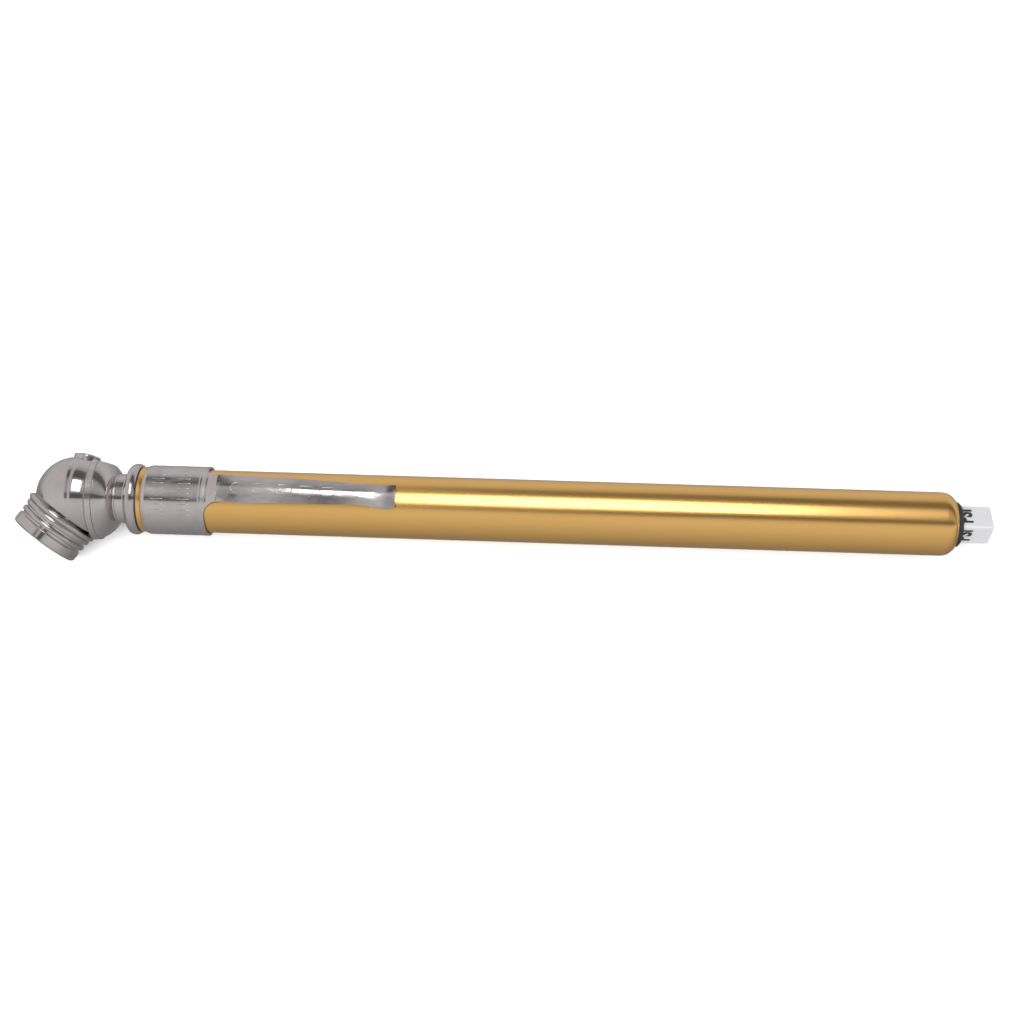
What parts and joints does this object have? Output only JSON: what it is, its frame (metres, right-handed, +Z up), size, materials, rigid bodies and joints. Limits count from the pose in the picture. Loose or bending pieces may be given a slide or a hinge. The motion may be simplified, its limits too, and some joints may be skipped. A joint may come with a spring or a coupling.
{
  "type": "tire pressure gauge",
  "caption": "Pencil tire pressure gauge: ball-shaped angled air chuck with deflator stud, gold tube with pocket clip, and a spring-loaded piston that slides out a square scale bar.",
  "frame": {"origin": "centre of the footprint of the gauge lying on its side, on the surface it lies on", "axes": "+X along the barrel towards the end where the scale bar comes out; the foot turns towards -Y and a little down, to rest on the surface; +Z up, clip on top"},
  "size_m": [0.154, 0.0173, 0.0134],
  "materials": {
    "chrome_head": "bright nickel-chrome plate on a die casting",
    "chrome_ring": "bright nickel-chrome plate",
    "chrome_stud": "bright nickel-chrome plate",
    "seal_rubber": "black rubber",
    "cup_rubber": "oiled black rubber",
    "brass": "plain turned brass",
    "aluminium_plain": "plain turned aluminium",
    "spring_steel": "bright spring steel",
    "gold_anodised": "satin gold anodised tube",
    "clip_plate": "bright plated spring steel",
    "bush_plastic": "black moulded plastic",
    "bar_plastic": "white nylon with printed scale",
    "stop_plastic": "natural nylon"
  },
  "bodies": {
    "root": {"ball_body": "chrome_head", "foot_sleeve": "chrome_ring", "foot_ring": "chrome_ring", "foot_seal": "seal_rubber", "depressor_pin": "brass", "deflator_stud": "chrome_stud", "ball_gasket": "seal_rubber", "neck_socket": "chrome_head", "head_gasket": "seal_rubber", "barrel_tube": "gold_anodised", "end_bush": "bush_plastic", "bar_leaf_spring": "spring_steel", "spring_seat": "spring_steel", "calibrated_spring": "spring_steel"},
    "piston": {"piston_cup": "cup_rubber", "cup_spreader": "spring_steel", "piston_screw": "brass", "piston_head": "aluminium_plain", "push_rod": "spring_steel"},
    "indicator": {"indicator_bar": "bar_plastic", "bar_stop": "stop_plastic"},
    "clip": {"pocket_clip": "clip_plate"}
  },
  "joints": [
    {"name": "piston_slide", "type": "slide", "parent": "root", "child": "piston", "axis": [1, 0, 0], "range_m": [0, 0.048], "stiffness_N_per_m": 437, "springref_m": -0.002, "deforming": ["calibrated_spring"]},
    {"name": "bar_slide", "type": "slide", "parent": "root", "child": "indicator", "axis": [1, 0, 0], "range_m": [0, 0.048]},
    {"name": "clip_turn", "type": "hinge", "parent": "root", "child": "clip", "pos_m": [-0.0515, 0.0015, 0.0067], "axis": [1, 0, 0], "continuous": true}
  ],
  "couplings": [
    {"joint": "bar_slide", "follows": "piston_slide", "ratio": 1}
  ]
}
